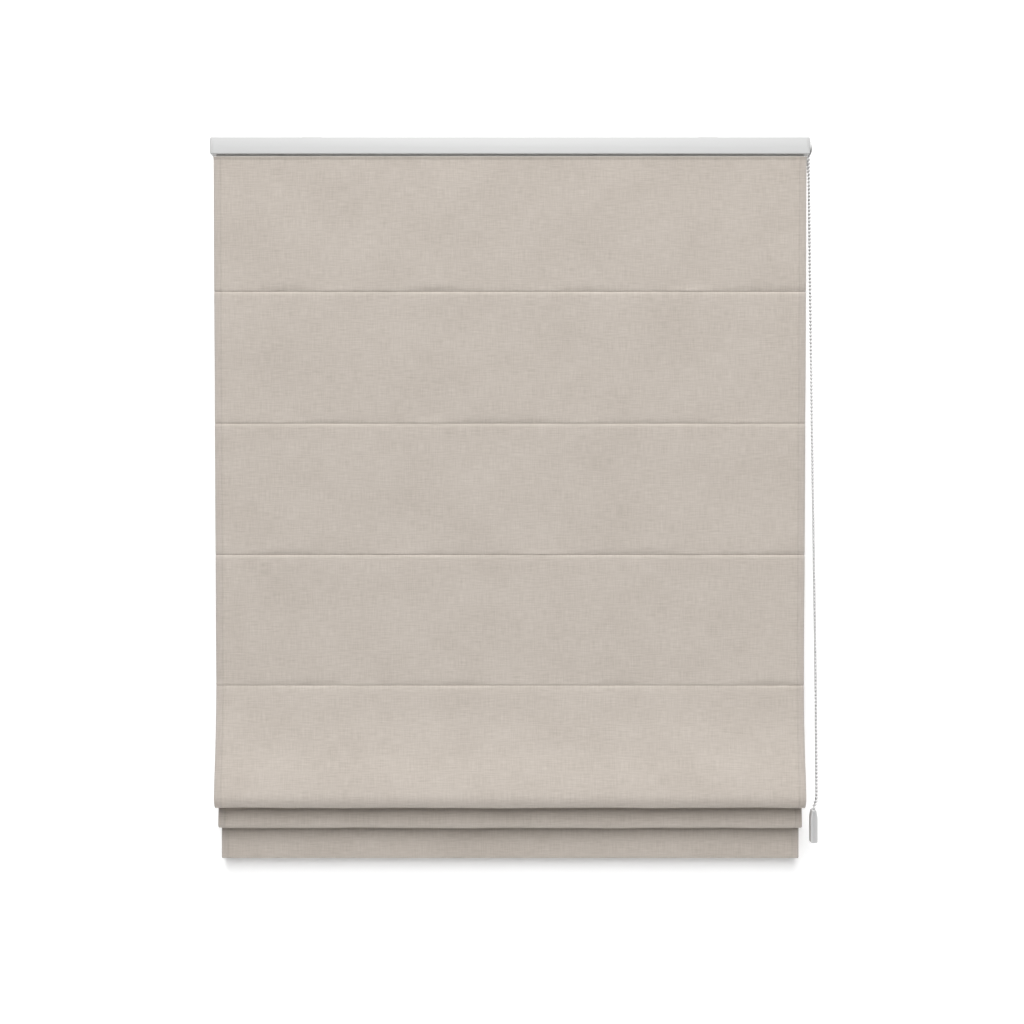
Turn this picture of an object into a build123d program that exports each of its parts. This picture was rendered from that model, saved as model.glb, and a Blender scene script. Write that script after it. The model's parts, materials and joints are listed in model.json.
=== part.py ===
from build123d import *
from math import copysign, cos, pi, radians, sin, tan
import os

os.makedirs("parts", exist_ok=True)

# Roman blind with a bead chain drive, in millimetres.
# The origin is the middle of the two ceiling screws, on the ceiling side of the brackets.
# +X is to the right, +Y is away from the room, towards the window, and +Z is up.

# General clearances
SOFT_GAP = 0.3
FIT_GAP = 0.1
BEARING_GAP = 0.05
CUT_MARGIN = 1.0
ARC_SLACK = 0.02

# Headrail
RAIL_LENGTH = 1000.0
RAIL_HEIGHT = 28.0
RAIL_DEPTH = 40.0
RAIL_WALL = 1.4
RAIL_BULGE = 0.6
RAIL_FRONT_RADIUS = 2.0
RAIL_EDGE_RADIUS = 1.0
TOP_SLOT = 24.0
END_WIDTH = 6.5
END_BOTTOM_RADIUS = 3.5
SPIGOT_LENGTH = 14.0
SPIGOT_WALL = 1.8

# Ceiling brackets
BRACKET_PLATE = 2.0
BRACKET_WIDTH = 32.0
BRACKET_DEPTH = 36.0
BRACKET_HOOK_WALL = 1.5
BRACKET_HOOK_REACH = 4.0
BRACKET_INSET = 170.0
BRACKET_HOLE = 4.5

# Heading strip and its groove in the headrail
STRIP_Y = -14.4
STRIP_BULB = 4.4
STRIP_THICKNESS = 1.0
STRIP_DROP = 9.0
STRIP_INSET = 5.0
GROOVE_WALL = 1.1
GROOVE_GAP = 0.2
GROOVE_LIFT = 4.6

# Fabric sheet
FABRIC_INSET = 5.0
FABRIC_THICKNESS = 0.8
FABRIC_PLY_GAP = 0.1
FIRST_CREASE_DROP = 255.0
PANEL_PITCH = 220.0
FLAT_CREASES = 4
FABRIC_LEAN = 0.021
CREASE_RADIUS = 1.6
CREASE_HALF_HEIGHT = 0.5
HEADING_GAP = 0.8
LEAN_RADIUS = 200.0

# Pockets in the sheet that the rods lie in
POCKET_NECK = 6.0
POCKET_SHOULDER = 1.4
POCKET_EASE = 1.0
UPRIGHT_NECK = 14.8
UPRIGHT_EASE = 14.0

# Lowest hanging panel, as (forward of the sheet, below the last crease, bend radius)
LOWER_PANEL = [(2.0, 58.0, 260.0), (7.4, 112.0, 160.0), (10.3, 174.0, 70.0)]

# Folds gathered at the bottom: their upper rod is below the last crease, and all else below that rod
PACK_BELOW = 121.0
FRONT_FOLD_BELOW = 83.6
FRONT_FOLD_Y = -14.1
FRONT_FOLD_DEPTH = 23.5
FRONT_FOLD_RADIUS = 10.0
REAR_FOLD_BELOW = 124.4
REAR_FOLD_Y = 14.1
REAR_FOLD_DEPTH = 19.8
REAR_FOLD_RADIUS = 9.1
REAR_FOLD_BEND = 58.0
REAR_BEND_RADIUS = 60.0
BOTTOM_BELOW = 181.5
BOTTOM_PANEL_Y = 40.8
BOTTOM_PANEL_BEND = 60.0
BOTTOM_BEND_RADIUS = 120.0
HEM_HEIGHT = 52.0
HEM_CLOSING = 10.0
HEM_EASE = 6.0

# Rods, cord rings and cord locks
ROD_RADIUS = 2.0
ROD_INSET = 4.0
RING_SIDES = 8
RING_FLAT = 5.1
RING_HOLE = 3.3
RING_HEIGHT = 3.0
LOCK_RADIUS = 3.6
LOCK_HEIGHT = 11.0
LOCK_EDGE = 0.8

# Lift cords, their drums and cradles
CORD_INSET = 105.0
CORD_RADIUS = 0.7
DRUM_RADIUS = 6.0
DRUM_LENGTH = 24.0
DRUM_FLANGE_RADIUS = 8.0
DRUM_FLANGE = 1.5
JOURNAL_RADIUS = 4.6
JOURNAL_LENGTH = 4.0
WOUND_LENGTH = 15.0
SHAFT_DROP = 13.5
SHAFT_SIDE = 5.0
SHAFT_OVERHANG = 21.0
CRADLE_WALL = 3.0
CRADLE_FLOOR = 1.2
CRADLE_BACK_Y = 17.6
CRADLE_FRONT_Y = -9.6
CRADLE_TOP_DROP = 7.5
CRADLE_SLOT = 7.4
CORD_EXIT_RADIUS = 2.6

# Chain drive at the right end
CHAIN_PITCH = 6.0
BEAD_RADIUS = 2.25
BEAD_TIP = 2.45
BEAD_SIDES = 6
CHAIN_CORD_RADIUS = 0.6
WHEEL_POCKETS = 8
WHEEL_WIDTH = 5.8
WHEEL_INSET = 0.2
WHEEL_RIM_RADIUS = 9.2
WHEEL_HUB_RADIUS = 6.0
WHEEL_HUB_LENGTH = 26.0
POCKET_GAP = 0.3
CHAMBER_RADIUS = 10.6
CHAMBER_GAP = 0.3
COLLAR_WALL = 1.2
DRIVE_PLUG_LENGTH = 34.0
SPRING_WIRE = 1.2
SPRING_TURNS = 5
SPRING_PITCH = 2.4
SPRING_SEAT = 1.6
COVER_PLATE = 1.0
COVER_PIN_RADIUS = 2.0
COVER_PIN_LENGTH = 2.2
BOSS_RADIUS = 8.4
BOSS_LENGTH = 2.0
BOSS_EDGE_RADIUS = 1.4
BOSS_DIMPLE_RADIUS = 2.8

# Bottom bar
BAR_INSET = 7.0
BAR_HEIGHT = 26.0
BAR_DEPTH = 5.0
BAR_WALL = 1.0
BAR_END = 2.0
BAR_PLUG = 10.0

# Chain weight
WEIGHT_X = 509.5
WEIGHT_TOP_DROP = 1123.2
WEIGHT_WIDTH = 11.8
WEIGHT_HEIGHT = 55.4
WEIGHT_DEPTH = 14.6
WEIGHT_NECK = 7.2
WEIGHT_SHOULDER = 12.0
WEIGHT_SHOULDER_RADIUS = 30.0
WEIGHT_CORNER_RADIUS = 2.4
WEIGHT_NECK_RADIUS = 1.4
WEIGHT_EDGE_RADIUS = 1.6
CHAIN_LOOP_RADIUS = 3.6
WHEEL_LEAVE = 14.0
WHEEL_EASE = 0.6
LOOP_DEPTH = 26.0
PEG_RADIUS = 1.3
PEG_LENGTH = 3.0
PEG_DROPS = (38.0, 50.0)

# Worked out from the sizes above
FABRIC_WIDTH = RAIL_LENGTH - 2 * FABRIC_INSET
STRIP_LENGTH = FABRIC_WIDTH - 2 * STRIP_INSET
ROD_LENGTH = FABRIC_WIDTH - 2 * ROD_INSET
BAR_LENGTH = FABRIC_WIDTH - 2 * BAR_INSET
BRACKET_SPACING = RAIL_LENGTH - 2 * BRACKET_INSET
OUTER_CORD_X = RAIL_LENGTH / 2 - CORD_INSET
LIFT_CORDS = {"left": -OUTER_CORD_X, "middle": 0.0, "right": OUTER_CORD_X}
SHAFT_LEFT_X = -OUTER_CORD_X - SHAFT_OVERHANG
RAIL_TOP = -BRACKET_PLATE
RAIL_BOTTOM = RAIL_TOP - RAIL_HEIGHT
RAIL_END_X = RAIL_LENGTH / 2 - END_WIDTH
HEADING_LOW = RAIL_BOTTOM - STRIP_DROP
RAIL_BACK_Y = RAIL_DEPTH / 2
SHAFT_Z = RAIL_TOP - SHAFT_DROP
CORD_Y = DRUM_RADIUS + FIT_GAP + CORD_RADIUS
POCKET_RADIUS = ROD_RADIUS + SOFT_GAP + FABRIC_THICKNESS / 2
RING_OFFSET = POCKET_RADIUS + FABRIC_THICKNESS / 2 + SOFT_GAP + RING_FLAT
WHEEL_PITCH_RADIUS = CHAIN_PITCH / 2 / sin(pi / WHEEL_POCKETS)
WHEEL_X = RAIL_LENGTH / 2 - WHEEL_INSET
CHAMBER_INNER_X = WHEEL_X - WHEEL_WIDTH / 2 - CHAMBER_GAP
COVER_INNER_X = WHEEL_X + WHEEL_WIDTH / 2 + CHAMBER_GAP
COLLAR_RADIUS = CHAMBER_RADIUS + COLLAR_WALL
WEIGHT_TOP = RAIL_TOP - WEIGHT_TOP_DROP
PLY_STEP = FABRIC_THICKNESS + FABRIC_PLY_GAP
LAST_CREASE_Z = RAIL_TOP - FIRST_CREASE_DROP - (FLAT_CREASES - 1) * PANEL_PITCH
PACK_Z = LAST_CREASE_Z - PACK_BELOW
SHEET_LOW = PACK_Z - BOTTOM_BELOW


def crease_z(number):
    """Height of a flat crease, counted from the top."""
    return RAIL_TOP - FIRST_CREASE_DROP - (number - 1) * PANEL_PITCH


def fabric_y(z):
    """The sheet's middle where it hangs flat: it leans back towards the lift cords."""
    top_y = STRIP_Y - STRIP_THICKNESS / 2 - FIT_GAP - PLY_STEP - FABRIC_THICKNESS / 2
    return top_y + FABRIC_LEAN * (HEADING_LOW - z)


def cord_y(z):
    """Where the lift cords run, in line with the rings."""
    return CORD_Y + FABRIC_LEAN * (SHAFT_Z - z)


def rod_places():
    """Middle of each rod as (y, z): four in the hanging sheet and two in the gathered folds."""
    places = []
    for number in range(1, FLAT_CREASES + 1):
        z = crease_z(number)
        places.append((cord_y(z) - RING_OFFSET, z))
    lower_z = PACK_Z - RING_HEIGHT - SOFT_GAP
    places.append((cord_y(PACK_Z) - RING_OFFSET, PACK_Z))
    places.append((cord_y(lower_z) + RING_OFFSET, lower_z))
    return places


def rail_outline():
    """Outside of the headrail's section, as (y, z) below its top."""
    bulge_radius = (RAIL_HEIGHT**2 / 4 + RAIL_BULGE**2) / (2 * RAIL_BULGE)
    block = Pos(0, -RAIL_HEIGHT / 2) * Rectangle(RAIL_DEPTH, RAIL_HEIGHT)
    bow = Pos(bulge_radius - RAIL_BACK_Y, -RAIL_HEIGHT / 2) * Circle(bulge_radius)
    face = block & bow
    low = face.vertices().sort_by(Axis.Y)[:2]
    front_low = low.sort_by(Axis.X)[0]
    face = fillet(front_low, RAIL_FRONT_RADIUS)
    back = face.vertices().sort_by(Axis.X)[-2:]
    return fillet(back, RAIL_EDGE_RADIUS)


def groove_block():
    """The rib inside the rail that holds the heading strip's groove."""
    side = STRIP_BULB + 2 * GROOVE_GAP + 2 * GROOVE_WALL
    top = GROOVE_LIFT + STRIP_BULB / 2 + GROOVE_GAP + GROOVE_WALL
    middle = top / 2 - RAIL_HEIGHT
    return Pos(STRIP_Y, middle) * Rectangle(side, top)


def along_x(face, start, end):
    """A section, as (y, z) below the rail's top, drawn out between two places along X."""
    return Pos(start, 0, RAIL_TOP) * extrude(Plane.YZ * face, end - start)


def x_cylinder(radius, start, end, y=0.0, z=0.0):
    """A cylinder along X between two places."""
    length = end - start
    return Pos(start + length / 2, y, z) * Rot(0, 90, 0) * Cylinder(radius, length)


def x_square(side, start, end, z):
    """A square bar along X between two places."""
    length = end - start
    return Pos(start + length / 2, 0, z) * Box(length, side, side)


def headrail():
    """Extruded channel with a slot on top, a groove for the heading strip and cord exits."""
    outer = rail_outline()
    section = outer - offset(outer, -RAIL_WALL)
    section -= Pos(0, -RAIL_WALL / 2) * Rectangle(TOP_SLOT, 2 * RAIL_WALL)
    section += groove_block() & outer
    groove_z = GROOVE_LIFT - RAIL_HEIGHT
    section -= Pos(STRIP_Y, groove_z) * Circle(STRIP_BULB / 2 + GROOVE_GAP)
    mouth = STRIP_THICKNESS + 2 * GROOVE_GAP
    mouth_height = GROOVE_LIFT + CUT_MARGIN
    section -= Pos(STRIP_Y, groove_z - mouth_height / 2) * Rectangle(mouth, mouth_height)
    rail = along_x(section, -RAIL_END_X, RAIL_END_X)
    for x in LIFT_CORDS.values():
        rail -= Pos(x, cord_y(RAIL_BOTTOM), RAIL_BOTTOM) * Cylinder(CORD_EXIT_RADIUS, 4 * RAIL_WALL)
    return rail


def end_plate(start, side):
    """A moulded plate with the rail's outline, rounded off at the outer bottom edge."""
    plate = along_x(rail_outline(), start, start + END_WIDTH)
    outer_edges = plate.faces().sort_by(Axis.X)[0 if side < 0 else -1].edges()
    bottom = outer_edges.sort_by(Axis.Z)[0]
    return fillet(bottom, END_BOTTOM_RADIUS)


def spigot_section():
    """What a moulded end fills inside the rail, behind the strip's groove."""
    wall = RAIL_WALL + FIT_GAP
    front = STRIP_Y + STRIP_BULB / 2 + GROOVE_GAP + GROOVE_WALL + SOFT_GAP
    back = RAIL_BACK_Y - wall
    middle = Pos((front + back) / 2, -RAIL_HEIGHT / 2)
    return middle * Rectangle(back - front, RAIL_HEIGHT - 2 * wall)


def end_cap_left():
    """Left end plate with a hollow spigot inside the rail."""
    plate = end_plate(-RAIL_LENGTH / 2, -1)
    outer = spigot_section()
    ring = outer - offset(outer, -SPIGOT_WALL)
    spigot = along_x(ring, -RAIL_END_X, SPIGOT_LENGTH - RAIL_END_X)
    return plate + spigot


def drive_housing():
    """Right end: a chamber for the chain wheel, open below, and a plug with the bearing."""
    plug_start = RAIL_END_X - DRIVE_PLUG_LENGTH
    beyond = COVER_INNER_X + CUT_MARGIN
    body = end_plate(RAIL_END_X, 1) + along_x(spigot_section(), plug_start, RAIL_END_X)
    body += x_cylinder(COLLAR_RADIUS, RAIL_END_X, COVER_INNER_X, 0, SHAFT_Z)
    body -= x_cylinder(CHAMBER_RADIUS, CHAMBER_INNER_X, beyond, 0, SHAFT_Z)
    depth = beyond - CHAMBER_INNER_X
    drop = SHAFT_Z - RAIL_BOTTOM + CUT_MARGIN
    mouth = Box(depth, 2 * CHAMBER_RADIUS, drop)
    body -= Pos(CHAMBER_INNER_X + depth / 2, 0, SHAFT_Z - drop / 2) * mouth
    body -= x_cylinder(WHEEL_HUB_RADIUS + BEARING_GAP, plug_start, beyond, 0, SHAFT_Z)
    seat = WHEEL_HUB_RADIUS + SPRING_WIRE + 2 * FIT_GAP
    body -= x_cylinder(seat, spring_start() - SPRING_SEAT, spring_end() + SPRING_SEAT, 0, SHAFT_Z)
    return body


def spring_end():
    return CHAMBER_INNER_X - 2 * SPRING_SEAT - SPRING_WIRE


def spring_start():
    return spring_end() - SPRING_TURNS * SPRING_PITCH


def brake_spring():
    """Wrap spring on the wheel's hub, which holds the blind where it is left."""
    coil_radius = WHEEL_HUB_RADIUS + FIT_GAP / 2 + SPRING_WIRE / 2
    path = Helix(SPRING_PITCH, SPRING_TURNS * SPRING_PITCH, coil_radius)
    wire = Plane(origin=path @ 0, z_dir=path % 0) * Rectangle(SPRING_WIRE, SPRING_WIRE)
    coil = sweep(wire, path=path, is_frenet=True)
    return Pos(spring_start(), 0, SHAFT_Z) * Rot(0, 90, 0) * coil


def drive_cover():
    """Round cover on the collar, with a boss outside and a pin in the wheel's outer end."""
    face = COVER_INNER_X + COVER_PLATE
    tip = face + BOSS_LENGTH
    cover = x_cylinder(BOSS_RADIUS, face, tip, 0, SHAFT_Z)
    cover = fillet(cover.edges().sort_by(Axis.X)[-1], BOSS_EDGE_RADIUS)
    cover += x_cylinder(COLLAR_RADIUS, COVER_INNER_X, face, 0, SHAFT_Z)
    cover += x_cylinder(COVER_PIN_RADIUS, COVER_INNER_X - COVER_PIN_LENGTH, COVER_INNER_X, 0, SHAFT_Z)
    return cover - x_cylinder(BOSS_DIMPLE_RADIUS, tip - BOSS_EDGE_RADIUS, tip + CUT_MARGIN, 0, SHAFT_Z)


def wheel_angles():
    """Places of the beads that lie on the wheel, from the front strand over to the rear one."""
    step = 360 / WHEEL_POCKETS
    return [number * step for number in range(WHEEL_POCKETS // 2 + 1)]


def bead_pocket():
    """Round-bottomed pocket for a bead, open outwards along +X."""
    radius = BEAD_RADIUS + POCKET_GAP
    reach = WHEEL_RIM_RADIUS - WHEEL_PITCH_RADIUS + CUT_MARGIN
    bottom = CenterArc((0, 0), radius, -90, 90)
    sides = Polyline((radius, 0), (radius, reach), (0, reach), (0, -radius))
    return Rot(0, 90, 0) * revolve(Plane.XZ * make_face(bottom.edges() + sides.edges()), Axis.Z)


def chain_wheel():
    """Wheel with a pocket for each bead, a groove for the cord and a long square-bored hub."""
    rim = Cylinder(WHEEL_RIM_RADIUS, WHEEL_WIDTH)
    groove_radius = WHEEL_PITCH_RADIUS - CHAIN_CORD_RADIUS - POCKET_GAP
    groove_width = 2 * (CHAIN_CORD_RADIUS + POCKET_GAP)
    rim -= Cylinder(WHEEL_RIM_RADIUS + CUT_MARGIN, groove_width) - Cylinder(groove_radius, groove_width)
    for number in range(WHEEL_POCKETS):
        rim -= Rot(0, 0, number * 360 / WHEEL_POCKETS) * Pos(WHEEL_PITCH_RADIUS, 0, 0) * bead_pocket()
    wheel = Pos(WHEEL_X, 0, SHAFT_Z) * Rot(0, 90, 0) * rim
    hub_start = RAIL_END_X - WHEEL_HUB_LENGTH
    wheel += x_cylinder(WHEEL_HUB_RADIUS, hub_start, WHEEL_X - WHEEL_WIDTH / 2, 0, SHAFT_Z)
    pin_hole = COVER_PIN_RADIUS + BEARING_GAP
    wheel -= x_cylinder(pin_hole, COVER_INNER_X - COVER_PIN_LENGTH - FIT_GAP, COVER_INNER_X, 0, SHAFT_Z)
    return wheel - x_square(SHAFT_SIDE + 2 * FIT_GAP, hub_start, WHEEL_X, SHAFT_Z)


def drive_shaft():
    """Square shaft that turns the drums with the chain wheel."""
    return x_square(SHAFT_SIDE, SHAFT_LEFT_X, WHEEL_X - FIT_GAP, SHAFT_Z)


def spool(x):
    """Drum with two flanges, two journals and a square bore."""
    half = DRUM_LENGTH / 2
    outer = half + DRUM_FLANGE
    drum = x_cylinder(DRUM_RADIUS, x - half, x + half, 0, SHAFT_Z)
    drum += x_cylinder(DRUM_FLANGE_RADIUS, x - outer, x - half, 0, SHAFT_Z)
    drum += x_cylinder(DRUM_FLANGE_RADIUS, x + half, x + outer, 0, SHAFT_Z)
    drum += x_cylinder(JOURNAL_RADIUS, x - outer - JOURNAL_LENGTH, x + outer + JOURNAL_LENGTH, 0, SHAFT_Z)
    bore = x_square(SHAFT_SIDE + 2 * FIT_GAP, x - 2 * DRUM_LENGTH, x + 2 * DRUM_LENGTH, SHAFT_Z)
    return drum - bore


def spool_cradle(x):
    """Plastic cradle on the rail's floor: two bearing walls and a floor with the cord's way out."""
    inner = DRUM_LENGTH / 2 + DRUM_FLANGE + SOFT_GAP
    width = CRADLE_BACK_Y - CRADLE_FRONT_Y
    middle_y = (CRADLE_BACK_Y + CRADLE_FRONT_Y) / 2
    floor_z = RAIL_BOTTOM + RAIL_WALL
    height = RAIL_TOP - CRADLE_TOP_DROP - floor_z
    block = Pos(x, middle_y, floor_z + height / 2) * Box(2 * (inner + CRADLE_WALL), width, height)
    hollow = Box(2 * inner, width + CUT_MARGIN, height)
    block -= Pos(x, middle_y, floor_z + CRADLE_FLOOR + height / 2) * hollow
    bore = JOURNAL_RADIUS + BEARING_GAP
    block -= x_cylinder(bore, x - DRUM_LENGTH, x + DRUM_LENGTH, 0, SHAFT_Z)
    slot_top = height - (SHAFT_Z - floor_z)
    slot = Box(2 * DRUM_LENGTH, CRADLE_SLOT, slot_top)
    block -= Pos(x, 0, SHAFT_Z + slot_top / 2) * slot
    block -= Pos(x, cord_y(floor_z), floor_z) * Cylinder(CORD_EXIT_RADIUS, 4 * CRADLE_FLOOR)
    return block


def lift_cord(x):
    """Cord wound on its drum, which runs straight down through the rings into its lock."""
    inner = DRUM_RADIUS + FIT_GAP
    wound = x_cylinder(inner + 2 * CORD_RADIUS, x - WOUND_LENGTH / 2, x + WOUND_LENGTH / 2)
    wound -= x_cylinder(inner, x - WOUND_LENGTH, x + WOUND_LENGTH)
    end_z = rod_places()[-1][1] - RING_HEIGHT / 2 - LOCK_HEIGHT / 2
    start = Vector(x, CORD_Y, SHAFT_Z)
    end = Vector(x, cord_y(end_z), end_z)
    run = end - start
    line = Plane(origin=start, z_dir=run) * extrude(Circle(CORD_RADIUS), run.length)
    return Pos(0, 0, SHAFT_Z) * wound + line


def bracket(x):
    """Pressed ceiling bracket: a plate with a screw hole and hooks inside the rail's slot."""
    lip = TOP_SLOT / 2
    web_y = lip - FIT_GAP - BRACKET_HOOK_WALL
    drop = BRACKET_PLATE + RAIL_WALL + FIT_GAP + BRACKET_HOOK_WALL
    section = Pos(0, BRACKET_PLATE / 2) * Rectangle(BRACKET_DEPTH, BRACKET_PLATE)
    for side in (-1, 1):
        web = Rectangle(BRACKET_HOOK_WALL, drop)
        section += Pos(side * (web_y + BRACKET_HOOK_WALL / 2), BRACKET_PLATE - drop / 2) * web
        foot = Rectangle(BRACKET_HOOK_REACH, BRACKET_HOOK_WALL)
        foot_z = BRACKET_PLATE - drop + BRACKET_HOOK_WALL / 2
        section += Pos(side * (web_y + BRACKET_HOOK_REACH / 2), foot_z) * foot
    plate = along_x(section, x - BRACKET_WIDTH / 2, x + BRACKET_WIDTH / 2)
    return plate - Pos(x, 0, 0) * Cylinder(BRACKET_HOLE / 2, 4 * BRACKET_PLATE)


def heading_strip():
    """Plastic strip whose bulb slides in the rail's groove and whose tongue carries the fabric."""
    groove_z = GROOVE_LIFT - RAIL_HEIGHT
    tongue_height = GROOVE_LIFT + STRIP_DROP
    section = Pos(STRIP_Y, groove_z) * Circle(STRIP_BULB / 2)
    section += Pos(STRIP_Y, groove_z - tongue_height / 2) * Rectangle(STRIP_THICKNESS, tongue_height)
    return along_x(section, -STRIP_LENGTH / 2, STRIP_LENGTH / 2)


def pocket_corners(ahead):
    """Corners and radii of a rod pocket that opens along +Y with the rod's middle ahead."""
    neck = (ahead - POCKET_NECK, PLY_STEP / 2)
    shoulder = (ahead - POCKET_SHOULDER, POCKET_RADIUS)
    back = (ahead + POCKET_RADIUS, POCKET_RADIUS)
    upper = [neck, shoulder, back]
    radii = [POCKET_EASE, POCKET_EASE, POCKET_RADIUS - ARC_SLACK]
    lower = [(y, -z) for y, z in reversed(upper)]
    return upper + lower, radii + radii[::-1]


def fabric_route():
    """Corners of the sheet's middle line as (y, z, bend radius), from heading to hem."""
    rods = rod_places()
    top_z = RAIL_BOTTOM - HEADING_GAP
    front_y = fabric_y(HEADING_LOW)
    inner_y = front_y + PLY_STEP
    turn = PLY_STEP / 2 - ARC_SLACK
    route = [(inner_y, HEADING_LOW, 0), (inner_y, top_z, turn), (front_y, top_z, turn)]
    route.append((front_y, HEADING_LOW, LEAN_RADIUS))
    for rod_y, z in rods[:FLAT_CREASES]:
        front = fabric_y(z)
        corners, radii = pocket_corners(rod_y - front)
        route.append((front, z + CREASE_HALF_HEIGHT, CREASE_RADIUS))
        route += [(front + y, z + up, r) for (y, up), r in zip(corners, radii)]
        route.append((front, z - CREASE_HALF_HEIGHT, CREASE_RADIUS))
    return route + fold_route(rods[-2], rods[-1])


def upright_pocket(rod, before, after):
    """A rod pocket that stands up, with the plies this far apart where they enter and leave."""
    rod_y, rod_z = rod
    corners, radii = pocket_corners(0.0)
    mouth_z = rod_z - UPRIGHT_NECK
    route = [(rod_y - PLY_STEP / 2 - before, mouth_z, UPRIGHT_EASE)]
    route += [(rod_y - side, rod_z + up, r) for (up, side), r in zip(corners, radii)]
    return route + [(rod_y + PLY_STEP / 2 + after, mouth_z, UPRIGHT_EASE)]


def fold_route(upper_rod, lower_rod):
    """The gathered folds: front loop, rear loop and the flat bottom panel with its hem."""
    half = FABRIC_THICKNESS / 2
    front_low = PACK_Z - FRONT_FOLD_BELOW + half
    rear_low = PACK_Z - REAR_FOLD_BELOW + half
    flat_y = fabric_y(LAST_CREASE_Z)
    route = [(flat_y - forward, LAST_CREASE_Z - drop, r) for forward, drop, r in LOWER_PANEL]
    route.append((FRONT_FOLD_Y, front_low, FRONT_FOLD_RADIUS))
    route.append((FRONT_FOLD_Y + FRONT_FOLD_DEPTH, front_low, FRONT_FOLD_RADIUS))
    route += upright_pocket(upper_rod, 1.6, 0.4)
    route.append((upper_rod[0] + PLY_STEP, rear_low + REAR_FOLD_BEND, REAR_BEND_RADIUS))
    route.append((REAR_FOLD_Y, rear_low, REAR_FOLD_RADIUS))
    route.append((REAR_FOLD_Y + REAR_FOLD_DEPTH, rear_low, REAR_FOLD_RADIUS))
    route += upright_pocket(lower_rod, 0.8, 0.8)
    route.append((BOTTOM_PANEL_Y, lower_rod[1] - BOTTOM_PANEL_BEND, BOTTOM_BEND_RADIUS))
    return route + hem_route()


def hem_route():
    """The bottom hem: round the bar and up to its stitching behind the bottom panel."""
    half = FABRIC_THICKNESS / 2
    bottom = SHEET_LOW + half
    back_y = BOTTOM_PANEL_Y + BAR_DEPTH + 2 * SOFT_GAP + FABRIC_THICKNESS
    sewn_y = BOTTOM_PANEL_Y + PLY_STEP
    turn = (back_y - BOTTOM_PANEL_Y) / 2 - ARC_SLACK
    bar_top = bottom + half + 2 * SOFT_GAP + BAR_HEIGHT
    route = [(BOTTOM_PANEL_Y, bottom, turn), (back_y, bottom, turn)]
    route += [(back_y, bar_top, HEM_EASE), (sewn_y, bar_top + HEM_CLOSING, HEM_EASE)]
    return route + [(sewn_y, bottom + HEM_HEIGHT, 0)]


def sheet_line(shift):
    """The sheet's line in (y, z), moved sideways from its middle: each arc gets or loses that."""
    route = fabric_route()
    corners = [Vector(y, z) for y, z, radius in route]
    runs = [(after - before).normalized() for before, after in zip(corners, corners[1:])]
    sides = [Vector(-run.Y, run.X) * shift for run in runs]
    moved = [corners[0] + sides[0]]
    radii = []
    for number in range(1, len(corners) - 1):
        before = sides[number - 1]
        after = sides[number]
        lengthening = 1 + runs[number - 1].dot(runs[number])
        moved.append(corners[number] + (before + after) / lengthening)
        turn = runs[number - 1].cross(runs[number]).Z
        radii.append(route[number][2] - shift * copysign(1, turn))
    moved.append(corners[-1] + sides[-1])
    return FilletPolyline(*moved, radius=radii)


def fabric():
    """One sheet of cloth with its creases, rod pockets, two gathered folds and bottom hem."""
    half = FABRIC_THICKNESS / 2
    front = sheet_line(half)
    back = sheet_line(-half)
    ends = [Line(front @ 0, back @ 0), Line(front @ 1, back @ 1)]
    section = make_face(front.edges() + back.edges() + ends)
    return Pos(-FABRIC_WIDTH / 2, 0, 0) * extrude(Plane.YZ * section, FABRIC_WIDTH)


def rod(number):
    """Glass fibre rod in its pocket."""
    y, z = rod_places()[number - 1]
    return x_cylinder(ROD_RADIUS, -ROD_LENGTH / 2, ROD_LENGTH / 2, y, z)


def ring_solids(z):
    """One cord ring for each lift cord, sewn to the back of a rod pocket."""
    turn = 180 / RING_SIDES
    blank = RegularPolygon(RING_FLAT, RING_SIDES, major_radius=False, rotation=turn) - Circle(RING_HOLE)
    ring = extrude(blank, RING_HEIGHT)
    return [Pos(x, cord_y(z), z - RING_HEIGHT / 2) * ring for x in LIFT_CORDS.values()]


def lock_solids(z):
    """A cord lock under each ring of the lowest rod, with the cord's end inside."""
    top = z - RING_HEIGHT / 2 - FIT_GAP
    lock = Cylinder(LOCK_RADIUS, LOCK_HEIGHT)
    lock = chamfer(lock.edges(), LOCK_EDGE)
    depth = LOCK_HEIGHT / 2 + CUT_MARGIN
    lock -= Pos(0, 0, depth / 2 - FIT_GAP) * Cylinder(CORD_RADIUS + FIT_GAP, depth)
    return [Pos(x, cord_y(top), top - LOCK_HEIGHT / 2) * lock for x in LIFT_CORDS.values()]


def bar_middle():
    """Middle of the bottom bar's section as (y, z)."""
    y = BOTTOM_PANEL_Y + FABRIC_THICKNESS / 2 + SOFT_GAP + BAR_DEPTH / 2
    z = SHEET_LOW + FABRIC_THICKNESS + SOFT_GAP + BAR_HEIGHT / 2
    return y, z


def bar_section(inset=0.0):
    """Rounded section of the bottom bar, or of its hollow."""
    depth = BAR_DEPTH - 2 * inset
    height = BAR_HEIGHT - 2 * inset
    return RectangleRounded(depth, height, depth / 2 - ARC_SLACK)


def bar_piece(section, start, end):
    """A piece with the bar's section between two places along X."""
    y, z = bar_middle()
    return Pos(start, y, z) * extrude(Plane.YZ * section, end - start)


def bottom_bar():
    """Hollow flat bar in the bottom hem."""
    hollow = bar_section() - bar_section(BAR_WALL)
    return bar_piece(hollow, -BAR_LENGTH / 2, BAR_LENGTH / 2)


def bar_end(side):
    """Plug with a flange that closes one end of the bottom bar."""
    edge = BAR_LENGTH / 2
    plug = bar_section(BAR_WALL + FIT_GAP)
    if side > 0:
        return bar_piece(bar_section(), edge, edge + BAR_END) + bar_piece(plug, edge - BAR_PLUG, edge)
    return bar_piece(bar_section(), -edge - BAR_END, -edge) + bar_piece(plug, -edge, BAR_PLUG - edge)


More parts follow.
